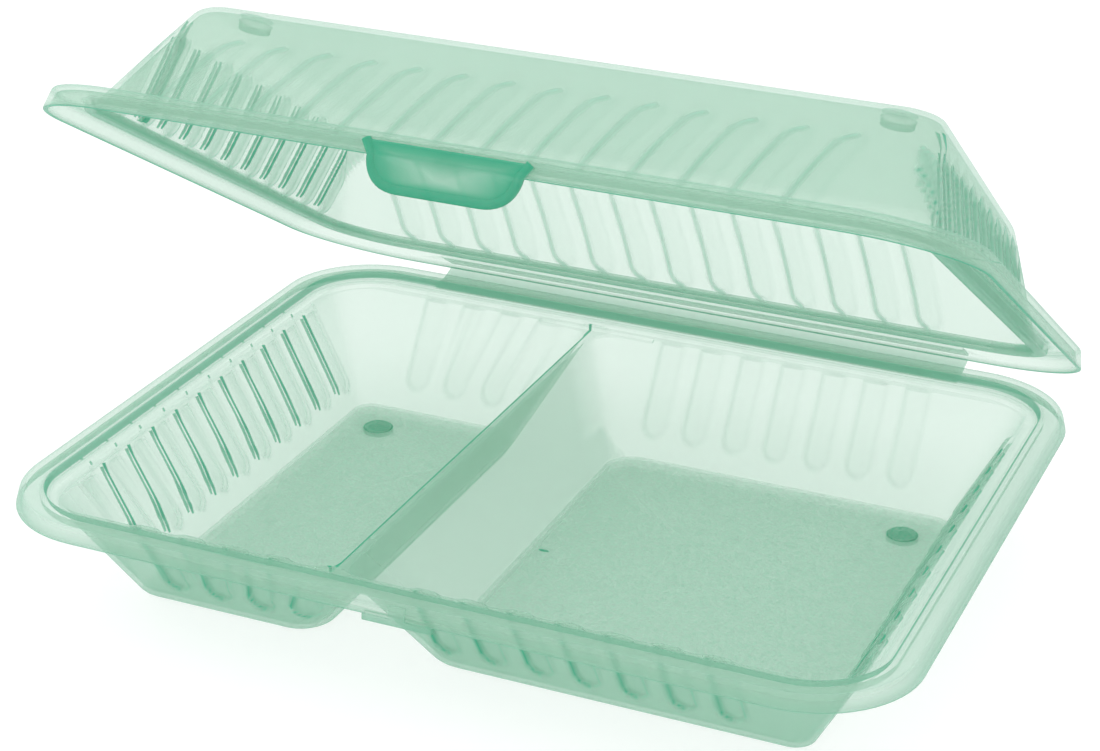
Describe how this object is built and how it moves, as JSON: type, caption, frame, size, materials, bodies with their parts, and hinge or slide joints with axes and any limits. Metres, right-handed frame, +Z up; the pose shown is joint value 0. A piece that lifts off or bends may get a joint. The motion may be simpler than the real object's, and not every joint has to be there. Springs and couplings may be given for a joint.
{
  "type": "takeaway meal container",
  "caption": "Hinged takeaway container in translucent green plastic, with compartments divided by a ridge and a domed fluted lid standing open.",
  "frame": {"origin": "on the table under the middle of the tray's rim, on the underside of the large compartment's floor plane", "axes": "+X to the right with the latch in front, +Y from the latch to the hinge, +Z up"},
  "size_m": [0.2586, 0.2204, 0.1567],
  "materials": {
    "tray_plastic": "translucent, fine frost inside",
    "lid_plastic": "translucent, fine frost inside"
  },
  "bodies": {
    "tray": {"tray": "tray_plastic"},
    "lid": {"lid": "lid_plastic"}
  },
  "joints": [
    {"name": "lid_hinge", "type": "hinge", "parent": "tray", "child": "lid", "pos_m": [0, 0.1159, 0.0357], "axis": [-1, 0, 0], "range_deg": [-30.2, 148.3]}
  ]
}
